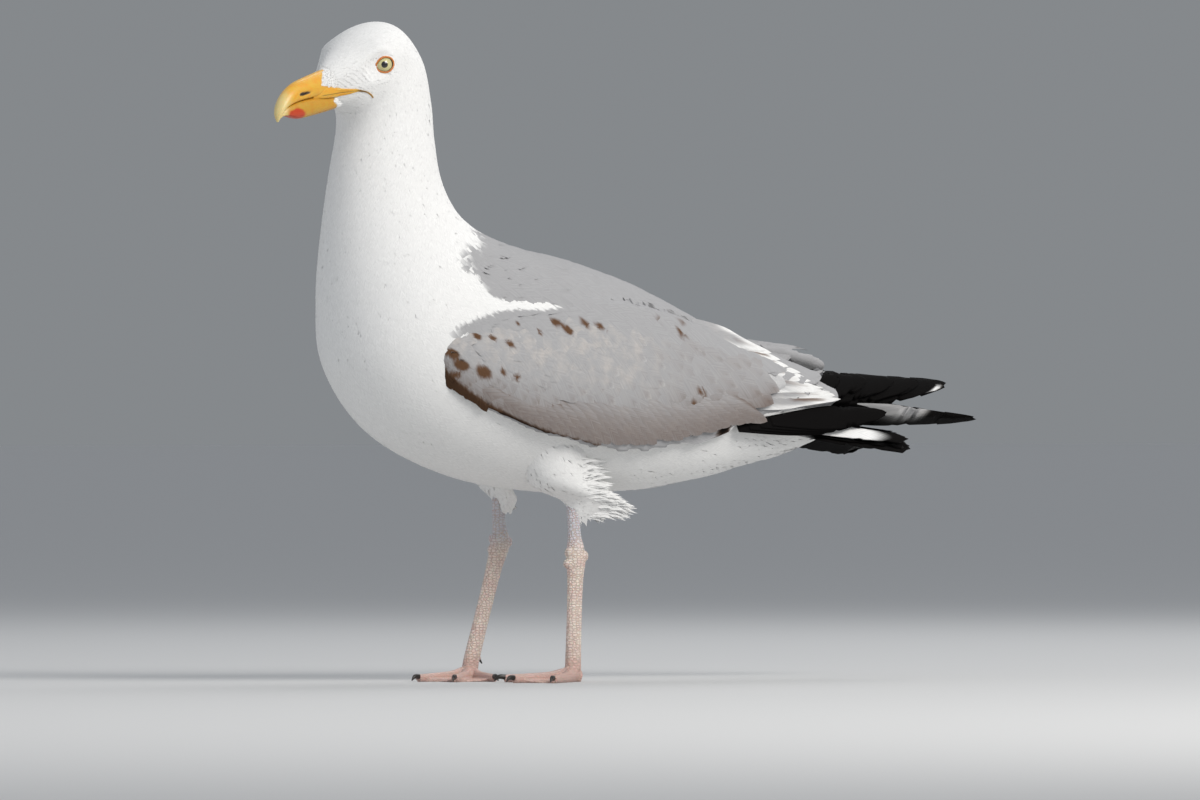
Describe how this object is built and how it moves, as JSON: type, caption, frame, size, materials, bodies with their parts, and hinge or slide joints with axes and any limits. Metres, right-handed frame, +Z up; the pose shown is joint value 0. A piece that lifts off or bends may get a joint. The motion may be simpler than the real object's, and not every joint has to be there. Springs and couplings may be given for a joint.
{
  "type": "herring gull",
  "caption": "life-size still model of a near-adult American herring gull standing on webbed feet, wings folded with crossed tips, head turned a little to its left",
  "frame": {"origin": "the middle of the bounding box's base, on the floor under the soles", "axes": "-Y is where the breast faces, +X is the bird's left side, +Z is up"},
  "size_m": [0.1306, 0.5043, 0.3877],
  "materials": {
    "plumage_white": "matte",
    "plumage_grey": "matte",
    "flight_feathers": "matte",
    "tail_feathers": "matte",
    "bill_horn": "satin",
    "eye": "gloss",
    "leg_skin": "satin",
    "claw": "satin"
  },
  "bodies": {
    "root": {"trunk": "plumage_white", "neck": "plumage_white", "head": "plumage_white", "thigh_left": "plumage_white", "thigh_right": "plumage_white", "wing_left_coverts": "plumage_grey", "wing_left_tertials": "plumage_grey", "wing_left_primaries": "flight_feathers", "eye_left": "eye", "shank_left": "leg_skin", "foot_left": "leg_skin", "hind_toe_left": "leg_skin", "claw_left_inner": "claw", "claw_left_middle": "claw", "claw_left_outer": "claw", "claw_left_hind": "claw", "wing_right_coverts": "plumage_grey", "wing_right_tertials": "plumage_grey", "wing_right_primaries": "flight_feathers", "eye_right": "eye", "shank_right": "leg_skin", "foot_right": "leg_skin", "hind_toe_right": "leg_skin", "claw_right_inner": "claw", "claw_right_middle": "claw", "claw_right_outer": "claw", "claw_right_hind": "claw", "tail": "tail_feathers", "bill_upper": "bill_horn", "bill_lower": "bill_horn"}
  },
  "joints": []
}
